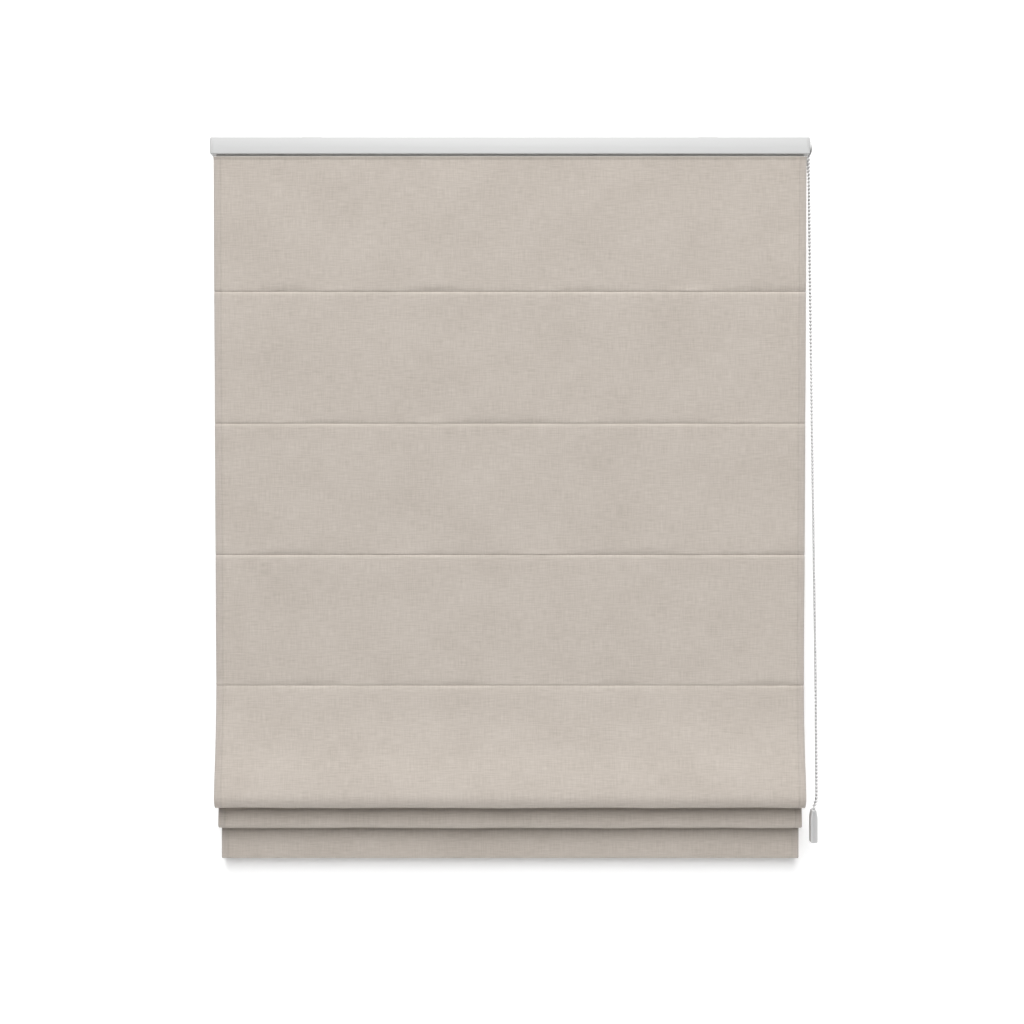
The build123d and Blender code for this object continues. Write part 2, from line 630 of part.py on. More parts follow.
# Route of the chain between its wheel and its weight, picked by hand as (x, y, z)
FRONT_STRAND = [
    (500.5, -7.7, -95.0),
    (504.6, -7.1, -430.0),
    (508.0, -6.5, -650.0),
    (510.2, -6.1, -790.0),
    (512.0, -5.7, -900.0),
    (513.9, -4.7, -1108.0),
    (WEIGHT_X, -CHAIN_LOOP_RADIUS, -1119.5),
]
REAR_STRAND = [
    (WEIGHT_X, CHAIN_LOOP_RADIUS, -1119.5),
    (516.1, 4.7, -1104.0),
    (514.9, 5.7, -904.0),
    (513.2, 6.1, -786.0),
    (511.3, 6.5, -652.0),
    (508.1, 7.1, -426.0),
    (503.6, 7.75, -75.0),
]


def wheel_corners(side):
    """Corners of the cord where it lies on the wheel, from the top down on one side."""
    half_turn = pi / WHEEL_POCKETS
    reach = WHEEL_PITCH_RADIUS / cos(half_turn)
    corners = [(WHEEL_X, side * ARC_SLACK, SHAFT_Z + WHEEL_PITCH_RADIUS)]
    for number in (1, 3):
        turn = number * half_turn
        corners.append((WHEEL_X, side * reach * sin(turn), SHAFT_Z + reach * cos(turn)))
    return corners + [(WHEEL_X, side * WHEEL_PITCH_RADIUS, SHAFT_Z - WHEEL_LEAVE)]


def chain_corners():
    """All corners of the chain's cord: over the wheel, down, round in the weight and up."""
    loop = WEIGHT_TOP - LOOP_DEPTH
    bottom = [(WEIGHT_X, -CHAIN_LOOP_RADIUS, loop), (WEIGHT_X, CHAIN_LOOP_RADIUS, loop)]
    return wheel_corners(-1) + FRONT_STRAND + bottom + REAR_STRAND + wheel_corners(1)[::-1]


def corner_radius(before, corner, after):
    """0.45 of the shorter run over the tangent of half the turn."""
    run_in = Vector(*corner) - Vector(*before)
    run_out = Vector(*after) - Vector(*corner)
    turn = radians(run_in.get_angle(run_out))
    return 0.45 * min(run_in.length, run_out.length) / tan(turn / 2)


def chain_line():
    """Middle line of the chain's cord."""
    corners = chain_corners()
    radii = [corner_radius(*corners[i : i + 3]) for i in range(len(corners) - 2)]
    on_wheel = len(wheel_corners(1)) - 2
    radii[:on_wheel] = [WHEEL_PITCH_RADIUS - ARC_SLACK - WHEEL_EASE] * on_wheel
    radii[-on_wheel:] = radii[:on_wheel]
    loop_at = len(wheel_corners(1)) + len(FRONT_STRAND) - 1
    radii[loop_at : loop_at + 2] = [CHAIN_LOOP_RADIUS - ARC_SLACK] * 2
    return FilletPolyline(*corners, radius=radii), radii


def chain_cord():
    """The cord that the beads are moulded on."""
    line, radii = chain_line()
    wire = Wire(line.edges())
    pen = Plane(origin=wire @ 0, z_dir=wire % 0) * Circle(CHAIN_CORD_RADIUS)
    return sweep(pen, path=wire)


def bead():
    """One bead, pointed where the cord enters and leaves it."""
    ring = []
    for number in range(BEAD_SIDES):
        angle = number * 2 * pi / BEAD_SIDES
        ring.append((BEAD_RADIUS * cos(angle), BEAD_RADIUS * sin(angle), 0))
    return ConvexPolyhedron(ring + [(0, 0, BEAD_TIP), (0, 0, -BEAD_TIP)])


def chain_beads():
    """Beads on the wheel at its pockets, and along both strands at the chain's pitch."""
    one = bead()
    beads = []
    for angle in wheel_angles():
        turn = radians(angle)
        y = -WHEEL_PITCH_RADIUS * cos(turn)
        z = SHAFT_Z + WHEEL_PITCH_RADIUS * sin(turn)
        beads.append(Pos(WHEEL_X, y, z) * Rot(angle, 0, 0) * one)
    wire = Wire(chain_line()[0].edges())
    at_wheel = wheel_contact(wire)
    free = wire.length - 2 * at_wheel
    count = round(free / CHAIN_PITCH)
    for number in range(1, count):
        share = (at_wheel + free * number / count) / wire.length
        place = Plane(origin=wire @ share, z_dir=wire % share)
        beads.append(place.location * one)
    return beads


def wheel_contact(wire):
    """Length of the cord from its start to the level of the wheel's axle."""
    spent = 0.0
    for edge in wire.order_edges():
        if min((edge @ 0).Z, (edge @ 1).Z) < SHAFT_Z - BEAD_RADIUS:
            return spent + abs((edge @ 0).Z - SHAFT_Z)
        spent += edge.length


def weight_blank():
    """Outside of the chain weight, in its own frame with the neck's top at the origin."""
    half = WEIGHT_WIDTH / 2
    neck = WEIGHT_NECK / 2
    corners = [(-neck, 0), (neck, 0), (half, -WEIGHT_SHOULDER), (half, -WEIGHT_HEIGHT)]
    corners += [(-half, -WEIGHT_HEIGHT), (-half, -WEIGHT_SHOULDER)]
    upper = [WEIGHT_NECK_RADIUS, WEIGHT_NECK_RADIUS, WEIGHT_SHOULDER_RADIUS]
    lower = [WEIGHT_CORNER_RADIUS, WEIGHT_CORNER_RADIUS, WEIGHT_SHOULDER_RADIUS]
    face = make_face(FilletPolyline(*corners, radius=upper + lower, close=True))
    solid = extrude(Plane.XZ * face, WEIGHT_DEPTH / 2, both=True)
    rims = solid.faces().sort_by(Axis.Y)
    solid = fillet(rims[0].edges() + rims[-1].edges(), WEIGHT_EDGE_RADIUS)
    return solid


def weight_passage():
    """Way of the chain through the weight: in at the top, round and out at the top."""
    side = CHAIN_LOOP_RADIUS
    corners = [(0, -side, CUT_MARGIN), (0, -side, -LOOP_DEPTH), (0, side, -LOOP_DEPTH), (0, side, CUT_MARGIN)]
    line = FilletPolyline(*corners, radius=[side - ARC_SLACK] * 2)
    wire = Wire(line.edges())
    pen = Plane(origin=wire @ 0, z_dir=wire % 0) * Circle(BEAD_RADIUS + SOFT_GAP)
    return sweep(pen, path=wire)


def weight_half(side):
    """One moulded half of the chain weight; the left half has the pegs."""
    whole = weight_blank() - weight_passage()
    size = 2 * WEIGHT_HEIGHT
    half = whole & Pos(side * size / 2, 0, 0) * Box(size, size, 2 * size)
    for drop in PEG_DROPS:
        peg = x_cylinder(PEG_RADIUS, -PEG_LENGTH, PEG_LENGTH, 0, -drop)
        hole = x_cylinder(PEG_RADIUS + FIT_GAP, 0, PEG_LENGTH + FIT_GAP, 0, -drop)
        if side < 0:
            half += peg
        else:
            half -= hole
    return Pos(WEIGHT_X, 0, WEIGHT_TOP) * half


def save(name, solids):
    """Writes one node; several solids go in as a group."""
    shape = Compound(children=solids) if isinstance(solids, list) else solids
    export_step(shape, f"parts/{name}.step")


save("headrail", headrail())
save("end_cap_left", end_cap_left())
save("drive_housing", drive_housing())
save("drive_cover", drive_cover())
save("chain_wheel", chain_wheel())
save("brake_spring", brake_spring())
save("drive_shaft", drive_shaft())
save("bracket_left", bracket(-BRACKET_SPACING / 2))
save("bracket_right", bracket(BRACKET_SPACING / 2))
save("heading_strip", heading_strip())
save("fabric", fabric())
for place, cord_x in LIFT_CORDS.items():
    save(f"spool_{place}", spool(cord_x))
    save(f"spool_cradle_{place}", spool_cradle(cord_x))
    save(f"lift_cord_{place}", lift_cord(cord_x))
for index, (rod_y, rod_z) in enumerate(rod_places(), start=1):
    save(f"rod_{index}", rod(index))
    save(f"cord_rings_{index}", ring_solids(rod_z))
save("cord_locks", lock_solids(rod_places()[-1][1]))
save("bottom_bar", bottom_bar())
save("bar_end_left", bar_end(-1))
save("bar_end_right", bar_end(1))
save("chain_cord", chain_cord())
save("chain_beads", chain_beads())
save("weight_left_half", weight_half(-1))
save("weight_right_half", weight_half(1))

print("fabric length", sheet_line(0.0).length)
chain, chain_radii = chain_line()
print("chain cord length", chain.length, "radii", chain_radii)
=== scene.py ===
import json
import math
from collections import namedtuple

import bpy
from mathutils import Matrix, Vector


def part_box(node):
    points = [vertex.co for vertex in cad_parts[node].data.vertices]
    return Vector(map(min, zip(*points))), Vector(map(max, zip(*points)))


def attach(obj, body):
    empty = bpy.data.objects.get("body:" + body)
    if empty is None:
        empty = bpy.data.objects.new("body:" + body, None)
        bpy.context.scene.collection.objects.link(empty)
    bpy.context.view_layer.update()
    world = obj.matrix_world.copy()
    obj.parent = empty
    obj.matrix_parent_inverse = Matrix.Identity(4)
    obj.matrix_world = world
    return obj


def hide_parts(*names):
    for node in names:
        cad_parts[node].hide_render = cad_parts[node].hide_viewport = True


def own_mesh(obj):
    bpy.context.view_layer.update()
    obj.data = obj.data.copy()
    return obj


# A roman blind: a linen sheet with flat creases and gathered folds, on a white headrail with a bead chain.
# Lengths are in metres. +X is to the right, +Y away from the room and +Z up.

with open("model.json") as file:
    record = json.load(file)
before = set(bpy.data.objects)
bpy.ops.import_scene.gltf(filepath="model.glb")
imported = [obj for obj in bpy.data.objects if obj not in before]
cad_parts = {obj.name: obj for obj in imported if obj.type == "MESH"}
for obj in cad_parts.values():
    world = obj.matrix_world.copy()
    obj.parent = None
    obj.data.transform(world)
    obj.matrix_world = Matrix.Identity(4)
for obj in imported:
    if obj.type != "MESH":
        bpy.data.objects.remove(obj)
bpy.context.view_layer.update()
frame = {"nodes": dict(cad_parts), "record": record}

# Creases, rods and lift cords
CREASES = 4
RODS = 6
CORD_PLACES = ("left", "middle", "right")

# Places and sizes from the frame
RAIL_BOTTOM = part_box("headrail")[0][2]
SHEET_LOW, SHEET_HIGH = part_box("fabric")
SHEET_HALF = (SHEET_HIGH[0] - SHEET_LOW[0]) / 2

# Sheet of cloth
THICKNESS = 0.0008
PLY_STEP = 0.0009  # from middle to middle of two plies
LEAN = 0.021  # away from the room, for each metre down
ARC_SLACK = 0.00002  # keeps two arcs that meet just apart
SHARP_STEP = 0.0002  # from a sharp corner to the next point

# Valleys above and below a crease, as (reach, depth, bend radius)
CREASE_ABOVE = (0.0042, 0.0007, 0.012)
CREASE_BELOW = (0.0050, 0.0012, 0.018)

# Heading, the narrow doubled edge at the sheet's top, with its lower edge and its fold
HEADING_LOW = RAIL_BOTTOM - 0.009
HEADING_FOLD = RAIL_BOTTOM - 0.004
HEADING_BULGE = 0.0015
HEADING_TUCK = 0.05  # share of the bulge that is left at the lower edge
HEADING_EDGE = 0.0004  # from the lower edge up to the front ply's end
HEADING_TURN = 0.0006  # radius of its two bends

# Rod pockets, lying behind a crease or standing in a gathered fold
POCKET_RADIUS = 0.0027
POCKET_NECK = 0.006
POCKET_SHOULDER = 0.0014
POCKET_EASE = 0.001
UPRIGHT_NECK = 0.0148
UPRIGHT_EASE = 0.014
FRONT_MOUTH = (0.0016, 0.0004)  # how far the plies stand off before and after the pocket
REAR_MOUTH = (0.0008, 0.0008)

# Lowest hanging panel, as (forward of the sheet, below the last crease, bend radius)
LOWER_PANEL = [(0.0016, 0.058, 0.26), (0.0062, 0.112, 0.16), (0.0128, 0.154, 0.1)]

# Front one of the gathered folds, as (y, lower face below rod_5, bend radius)
FRONT_FOLD = [
    (-0.0141, 0.0645, 0.03),
    (-0.0124, 0.0750, 0.020),
    (-0.0066, 0.0843, 0.011),
    (0.0094, 0.0843, 0.008),
]

# Rear one of the gathered folds
REAR_FOLD_DROP = 0.1244  # its lower face below rod_5
REAR_FOLD_Y = 0.0141
REAR_FOLD_DEPTH = 0.0198
REAR_FOLD_RADIUS = 0.0091
REAR_FOLD_BEND = 0.058  # height of its front ply's bend
REAR_BEND_RADIUS = 0.06

# Bottom panel, with a hem round the bar
BOTTOM_PANEL_Y = 0.0408
BOTTOM_PANEL_BEND = 0.06  # below rod_6
BOTTOM_BEND_RADIUS = 0.12
HEM_HEIGHT = 0.052
HEM_CLOSING = 0.01  # from the bar's top to where the plies meet
HEM_EASE = 0.006
BAR_CLEARANCE = 0.0003

# Side hems and their seams
SIDE_INSET = 0.0008  # from the edge of the CAD sheet
SIDE_HEM = 0.0125
HEM_PLY = 0.0006
SEAM_DEPTH = 0.00025
SEAM_WIDTH = 0.0009
SEAM_INSET = 0.0004  # from the hem's inner edge to its seam
SIDE_SEAM = SIDE_HEM - SEAM_WIDTH / 2 - SEAM_INSET
HEM_COLUMNS = (0.0, 0.0004, 0.0016, 0.005, 0.0088)  # columns of points outside the seam, from the edge
PLAIN_COLUMNS = (0.0002, 0.004)  # the first ones inside the hem, from its inner edge

# Small unevenness of the sheet, and the size of its mesh
RIPPLE = 0.00035
RIPPLE_RUN_IN = 0.05  # from a held point to where the cloth ripples freely
TIGHT_RADIUS = 0.005  # a bend below this holds the cloth still
SHEET_STEP = 0.0085
ARC_STEP = math.radians(14)
COLUMN_STEP = 0.0145
SPLIT_ABOVE_ROD = 0.02  # from rod_5 up to the start of the gathered piece
EDGE_ANGLE = math.radians(50)  # sharper edges aren't shaded smooth

# Colours of the cloth, and painted shade along its side hems: darkest at the edge, lighter over the hem and
# dark again along the stitched line
LINEN_DARK = (0.395, 0.350, 0.305)
LINEN_MID = (0.500, 0.449, 0.400)
LINEN_LIGHT = (0.592, 0.540, 0.488)
HEM_EDGE_SHADE = (0.92, 0.935, 0.965)
HEM_SHADE = (0.965, 0.965, 0.975)
SEAM_SHADE = (0.9, 0.9, 0.9)
UNSHADED = (1.0, 1.0, 1.0)
HEM_EDGE_FADE = (0.00325, 0.00425)  # the painted shade at the edge fades out between these distances
WEAVE_PITCH = 0.0011

# Bead chain
CHAIN_PITCH = 0.006
BEAD_RADIUS = 0.00225
BEAD_STRETCH = 1.06
BEAD_SEGMENTS = 10
BEAD_RINGS = 6
CHAIN_CORD_RADIUS = 0.0006
WHEEL_POCKETS = 8
WHEEL_X = 0.4998
WHEEL_Z = -0.0155
WHEEL_PITCH_RADIUS = CHAIN_PITCH / 2 / math.sin(math.pi / WHEEL_POCKETS)
WHEEL_LEAVE = 0.014  # from the wheel's middle down to the end of its straight runs
WEIGHT_X = 0.5095
WEIGHT_LOOP = -1.1512
CHAIN_LOOP_RADIUS = 0.0036

# Rings
RING_OUTER = 0.0051
RING_INNER = 0.0033
RING_BEVEL = 0.0005
RING_SIDES = 32

# Lift cords
CORD_RADIUS = 0.0007
CORD_SIDES = 10
WOUND_TURNS = 10
WOUND_PITCH = 0.98 * 2 * CORD_RADIUS
WOUND_RADIUS = 0.97 * CORD_RADIUS  # a little thin, so that the turns stay apart
WOUND_SIDES = 8
TURN_STEPS = 16
HANGING_STEPS = 40

# Camera
CAMERA_PLACE = (0.00324, -2.02, -0.6257)
PHOTO_PIXELS = 1024
FOCAL_PIXELS = 1202.4
SENSOR = 36.0

# Backdrop
WALL_Y = 0.065
WALL_HEIGHT = 2.6
WALL_HALF_WIDTH = 2.6
WALL_COLOUR = (0.93, 0.93, 0.93)
WALL_GLOW = 0.19
FLOOR_Z = -2.8
FLOOR_DEPTH = 1.6
COVE_RADIUS = 0.3
COVE_STEPS = 8

# Lights, as (name, elevation, power) in front and (name, height, power, spread) behind
LIT_PLACE = (0, 0, -0.6)
KEY_PANELS = [("key_low", 30, 645), ("key_middle", 50, 765), ("key_high", 70, 930)]
KEY_DISTANCE = 12.0
KEY_SIZE = (5.0, 4.2)
REAR_PANELS = [("rear", 0.9, 110, 180), ("rear_level", -0.5, 46, 50)]
REAR_X = 0.6
REAR_Y = 3.2
REAR_SIZE = (2.0, 1.6)
WORLD_LIGHT = 0.1
WORLD_SEEN = 0.8

# A point on the sheet's middle line, its freedom to ripple, its length along the cloth and its normal
Station = namedtuple("Station", "spot freedom length normal")


def slot_of(node):
    """The record's material slot of a CAD node."""
    return next(s["material_slot"] for s in frame["record"]["subparts"] if s["node"] == node)


def middle(node):
    """Middle of a CAD node's box."""
    low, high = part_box(node)
    return (Vector(low) + Vector(high)) / 2


def new_object(name, data):
    """An object in the scene with this data."""
    obj = bpy.data.objects.new(name, data)
    bpy.context.scene.collection.objects.link(obj)
    return obj


# Shader nodes

def new_material(name, roughness, colour=None, metallic=0.0):
    """A Principled material, its node tree and its shader."""
    mat = bpy.data.materials.new(name)
    mat.use_nodes = True
    shader = mat.node_tree.nodes["Principled BSDF"]
    shader.inputs["Roughness"].default_value = roughness
    shader.inputs["Metallic"].default_value = metallic
    if colour:
        shader.inputs["Base Color"].default_value = (*colour, 1.0)
    return mat, mat.node_tree, shader


def add(tree, kind, **values):
    """A node with its inputs and settings given by name."""
    node = tree.nodes.new(kind)
    for key, value in values.items():
        if key in node.inputs:
            node.inputs[key].default_value = value
        else:
            setattr(node, key, value)
    return node


def noise(tree, source, scale, detail=3.0):
    """Noise over coordinates that are stretched along each axis."""
    stretched = add(tree, "ShaderNodeMapping", Scale=scale)
    tree.links.new(source, stretched.inputs["Vector"])
    node = add(tree, "ShaderNodeTexNoise", Scale=1.0, Detail=detail, Roughness=0.55)
    tree.links.new(stretched.outputs["Vector"], node.inputs["Vector"])
    return node.outputs["Fac"]


def math_node(tree, operation, first, second=None):
    """One step of arithmetic on sockets or numbers."""
    node = add(tree, "ShaderNodeMath", operation=operation)
    for place, value in enumerate((first, second)):
        if value is None:
            continue
        if isinstance(value, (int, float)):
            node.inputs[place].default_value = value
        else:
            tree.links.new(value, node.inputs[place])
    return node.outputs[0]


def weighted(tree, shares):
    """Sum of sources, given with their shares."""
    total = 0.0
    for source, share in shares:
        total = math_node(tree, "ADD", total, math_node(tree, "MULTIPLY", source, share))
    return total


def wave(tree, source, pitch):
    """A sine wave along a coordinate."""
    return math_node(tree, "SINE", math_node(tree, "MULTIPLY", source, 2 * math.pi / pitch))


def ramp(tree, source, stops):
    """A colour ramp with rising stops as (place, colour)."""
    node = add(tree, "ShaderNodeValToRGB")
    elements = node.color_ramp.elements
    elements.remove(elements[1])
    for number, (place, colour) in enumerate(stops):
        element = elements.new(place) if number else elements[0]
        element.position = place
        element.color = (*colour, 1.0)
    tree.links.new(source, node.inputs["Fac"])
    return node.outputs["Color"]


def clouded(tree, shader, source, colour, shade, stops):
    """Base colour that falls to a shade of itself where the source is low."""
    darker = tuple(shade * value for value in colour)
    low, high = stops
    tree.links.new(ramp(tree, source, [(low, darker), (high, colour)]), shader.inputs["Base Color"])


def multiplied(tree, first, second):
    """Product of two colours."""
    node = add(tree, "ShaderNodeMix", data_type="RGBA", blend_type="MULTIPLY", Factor=1.0)
    colour_inputs = [socket for socket in node.inputs if socket.type == "RGBA"]
    for source, socket in zip((first, second), colour_inputs):
        tree.links.new(source, socket)
    return next(socket for socket in node.outputs if socket.type == "RGBA")


def bump(tree, shader, height, strength, distance):
    """Fine relief on a shader."""
    node = add(tree, "ShaderNodeBump", Strength=strength, Distance=distance)
    tree.links.new(height, node.inputs["Height"])
    tree.links.new(node.outputs["Normal"], shader.inputs["Normal"])


def split_axes(tree, vector):
    """The X, Y and Z of a vector."""
    node = add(tree, "ShaderNodeSeparateXYZ")
    tree.links.new(vector, node.inputs[0])
    return node.outputs


def object_place(tree):
    """Coordinates of each point of a piece."""
    return add(tree, "ShaderNodeTexCoord").outputs["Object"]


# Materials

def painted_hem_shade(tree, across):
    """Painted shade of the side hems and their stitched lines, by the distance from the sheet's edge."""
    reach = 2 * SIDE_HEM
    edge = math_node(tree, "SUBTRACT", SHEET_HALF, math_node(tree, "ABSOLUTE", across))
    stops = [(0.0, HEM_EDGE_SHADE), (HEM_EDGE_FADE[0], HEM_EDGE_SHADE), (HEM_EDGE_FADE[1], HEM_SHADE)]
    stops += [(SIDE_HEM - 2 * SEAM_WIDTH, HEM_SHADE), (SIDE_HEM - SEAM_WIDTH, SEAM_SHADE)]
    stops += [(SIDE_HEM, SEAM_SHADE), (SIDE_HEM + SEAM_WIDTH, UNSHADED)]
    inward = math_node(tree, "DIVIDE", edge, reach)
    return ramp(tree, inward, [(distance / reach, colour) for distance, colour in stops])


def linen():
    """Plain linen weave with uneven threads and slubs, and painted shade along its stitched side hems."""
    mat, tree, shader = new_material("linen_weave", roughness=0.92)
    shader.inputs["Sheen Weight"].default_value = 0.12
    shader.inputs["Sheen Roughness"].default_value = 0.6
    shader.inputs["Specular IOR Level"].default_value = 0.15
    cloth = add(tree, "ShaderNodeAttribute", attribute_name="cloth").outputs["Vector"]
    across, along_cloth, _ = split_axes(tree, cloth)
    weft = noise(tree, cloth, scale=(45, 620, 1), detail=2.0)
    warp = noise(tree, cloth, scale=(620, 38, 1), detail=2.0)
    slub = noise(tree, cloth, scale=(22, 1100, 1), detail=1.0)
    mottle = noise(tree, cloth, scale=(9, 11, 1), detail=4.0)
    tone = weighted(tree, [(weft, 0.38), (warp, 0.30), (slub, 0.14), (mottle, 0.18)])
    colour = ramp(tree, tone, [(0.30, LINEN_DARK), (0.50, LINEN_MID), (0.70, LINEN_LIGHT)])
    # the side hems' painted shade darkens the cloth's colour
    tree.links.new(multiplied(tree, colour, painted_hem_shade(tree, across)), shader.inputs["Base Color"])
    weave = math_node(tree, "MULTIPLY", wave(tree, across, WEAVE_PITCH), wave(tree, along_cloth, WEAVE_PITCH))
    bump(tree, shader, weighted(tree, [(weave, 0.5), (tone, 1.0)]), strength=0.35, distance=0.0003)
    return mat


def powder_coat():
    """Satin white paint on extruded metal."""
    mat, tree, shader = new_material("powder_coat", roughness=0.42)
    place = object_place(tree)
    streaks = noise(tree, place, scale=(3, 60, 60), detail=2.0)
    colour = ramp(tree, streaks, [(0.3, (0.563, 0.565, 0.563)), (0.7, (0.580, 0.582, 0.580))])
    tree.links.new(colour, shader.inputs["Base Color"])
    grain = noise(tree, place, scale=(900, 900, 900), detail=2.0)
    bump(tree, shader, grain, strength=0.05, distance=0.0002)
    return mat


def moulded(name, colour, roughness, gloss=0.4):
    """Moulded plastic with a faint grain and cloudiness."""
    mat, tree, shader = new_material(name, roughness)
    shader.inputs["Specular IOR Level"].default_value = gloss
    place = object_place(tree)
    clouds = noise(tree, place, scale=(70, 70, 70))
    clouded(tree, shader, clouds, colour, shade=0.93, stops=(0.35, 0.65))
    grain = noise(tree, place, scale=(1600, 1600, 1600), detail=2.0)
    bump(tree, shader, grain, strength=0.06, distance=0.0001)
    return mat


def milky(name, colour):
    """Pale half-clear plastic of the chain's weight."""
    mat, tree, shader = new_material(name, roughness=0.28)
    shader.inputs["Subsurface Weight"].default_value = 0.6
    shader.inputs["Subsurface Scale"].default_value = 1.0
    shader.inputs["Subsurface Radius"].default_value = (0.006, 0.006, 0.006)
    shader.inputs["Coat Weight"].default_value = 0.2
    clouds = noise(tree, object_place(tree), scale=(90, 90, 30), detail=2.0)
    clouded(tree, shader, clouds, colour, shade=0.94, stops=(0.35, 0.65))
    return mat


def drawn_metal(name, colour, roughness, grain):
    """Bare metal with fine streaks or grain."""
    mat, tree, shader = new_material(name, roughness, metallic=1.0)
    streaks = noise(tree, object_place(tree), scale=grain)
    clouded(tree, shader, streaks, colour, shade=0.82, stops=(0.3, 0.7))
    bump(tree, shader, streaks, strength=0.08, distance=0.0001)
    return mat


def braid(name, colour, pitch):
    """Braided cord: strands that cross along its length, with painted shade in the grooves between them."""
    mat, tree, shader = new_material(name, roughness=0.8)
    side, _, turn = split_axes(tree, object_place(tree))
    left = wave(tree, math_node(tree, "ADD", turn, side), pitch)
    right = wave(tree, math_node(tree, "SUBTRACT", turn, side), pitch)
    strands = math_node(tree, "MULTIPLY", left, right)
    # darker where the strands' relief is low: painted shade in the grooves between them
    clouded(tree, shader, strands, colour, shade=0.8, stops=(0.1, 0.6))
    bump(tree, shader, strands, strength=0.3, distance=0.0003)
    return mat


MATERIALS = {
    "rail_paint": powder_coat(),
    "cap_plastic": moulded("cap_plastic", (0.57, 0.572, 0.57), roughness=0.45),
    "cover_plastic": moulded("cover_plastic", (0.55, 0.55, 0.545), roughness=0.4),
    "bracket_paint": moulded("bracket_paint", (0.8, 0.8, 0.8), roughness=0.4),
    "strip_plastic": moulded("strip_plastic", (0.66, 0.66, 0.64), roughness=0.5),
    "linen": linen(),
    "nylon": moulded("nylon", (0.72, 0.72, 0.69), roughness=0.5),
    "spring_steel": drawn_metal("spring_steel", (0.58, 0.58, 0.6), roughness=0.3, grain=(300, 300, 300)),
    "shaft_metal": drawn_metal("shaft_metal", (0.72, 0.72, 0.73), roughness=0.35, grain=(8, 900, 900)),
    "lift_cord": braid("lift_cord", (0.74, 0.73, 0.7), pitch=0.0022),
    "glass_fibre": moulded("glass_fibre", (0.7, 0.71, 0.66), roughness=0.35),
    "ring_plastic": moulded("ring_plastic", (0.74, 0.74, 0.72), roughness=0.25, gloss=0.5),
    "bar_metal": drawn_metal("bar_metal", (0.72, 0.72, 0.73), roughness=0.38, grain=(8, 900, 900)),
    "bar_end_plastic": moulded("bar_end_plastic", (0.7, 0.7, 0.68), roughness=0.5),
    "chain_cord": braid("chain_cord", (0.6, 0.6, 0.6), pitch=0.0016),
    "bead_plastic": moulded("bead_plastic", (0.65, 0.65, 0.65), roughness=0.35, gloss=0.5),
    "weight_plastic": milky("weight_plastic", (0.58, 0.58, 0.58)),
}


def finish_nodes():
    """Every CAD node gets the material of its slot."""
    for name, node in frame["nodes"].items():
        node.data.materials.clear()
        node.data.materials.append(MATERIALS[slot_of(name)])


# Meshes

def piece(name, verts, faces, slot):
    """A smooth mesh piece with its slot's material."""
    mesh = bpy.data.meshes.new(name)
    mesh.from_pydata(verts, [], faces)
    mesh.validate()
    mesh.materials.append(MATERIALS[slot])
    mesh.shade_smooth()
    obj = new_object(name, mesh)
    return obj


def joined(shapes):
    """Several shapes as one, all as points and faces."""
    verts, faces = [], []
    for more, more_faces in shapes:
        faces += [[len(verts) + corner for corner in face] for face in more_faces]
        verts += more
    return verts, faces


def tube(points, radius, sides=CORD_SIDES):
    """A tube with closed ends along a line of points, as points and faces."""
    verts, faces = [], []
    for number, spot in enumerate(points):
        run = points[min(number + 1, len(points) - 1)] - points[max(number - 1, 0)]
        turn = run.normalized().to_track_quat("Z", "Y")
        for side in range(sides):
            angle = 2 * math.pi * side / sides
            verts.append(spot + turn @ Vector((radius * math.cos(angle), radius * math.sin(angle), 0)))
    for row in range(len(points) - 1):
        low, high = row * sides, (row + 1) * sides
        for side in range(sides):
            after = (side + 1) % sides
            faces.append((low + side, low + after, high + after, high + side))
    faces.append(list(range(sides))[::-1])
    faces.append([(len(points) - 1) * sides + side for side in range(sides)])
    return verts, faces


# Sheet of cloth

def hanging_y(z):
    """Y of the sheet's middle where it hangs flat: foremost at the heading and leaning back below it."""
    return SHEET_LOW[1] + THICKNESS / 2 + LEAN * (HEADING_LOW - z)


def heading_corners():
    """Corners of the heading, from its rear ply's lower edge over its fold to where the sheet hangs."""
    front = hanging_y(HEADING_LOW)
    return [
        (front + PLY_STEP, HEADING_LOW, 0),
        (front + PLY_STEP, HEADING_FOLD, HEADING_TURN),
        (front - HEADING_BULGE, HEADING_FOLD, HEADING_TURN),
        (front - HEADING_TUCK * HEADING_BULGE, HEADING_LOW + HEADING_EDGE, 0),
        (front, HEADING_LOW, 0),
    ]


def pocket_corners(away):
    """Corners of a pocket round a rod that lies this far along +Y, as (y, z, radius)."""
    neck = (away - POCKET_NECK, PLY_STEP / 2, POCKET_EASE)
    shoulder = (away - POCKET_SHOULDER, POCKET_RADIUS, POCKET_EASE)
    back = (away + POCKET_RADIUS, POCKET_RADIUS, POCKET_RADIUS - ARC_SLACK)
    upper = [neck, shoulder, back]
    return upper + [(y, -z, radius) for y, z, radius in reversed(upper)]


def crease_corners(rod):
    """Corners of a crease: the valley above it, the pocket behind it and the valley below."""
    front = hanging_y(rod.z)
    reach, depth, bend = CREASE_ABOVE
    corners = [(front, rod.z + reach, bend), (front + depth, rod.z + PLY_STEP / 2, 0)]
    corners += [(front + y, rod.z + z, radius) for y, z, radius in pocket_corners(rod.y - front)]
    reach, depth, bend = CREASE_BELOW
    return corners + [(front + depth, rod.z - PLY_STEP / 2, 0), (front, rod.z - reach, bend)]


def upright_corners(rod, mouth):
    """Corners of a pocket that stands up round its rod."""
    before, after = mouth
    mouth_z = rod.z - UPRIGHT_NECK
    corners = [(rod.y - PLY_STEP / 2 - before, mouth_z, UPRIGHT_EASE)]
    corners += [(rod.y - side, rod.z + up, radius) for up, side, radius in pocket_corners(0.0)]
    return corners + [(rod.y + PLY_STEP / 2 + after, mouth_z, UPRIGHT_EASE)]


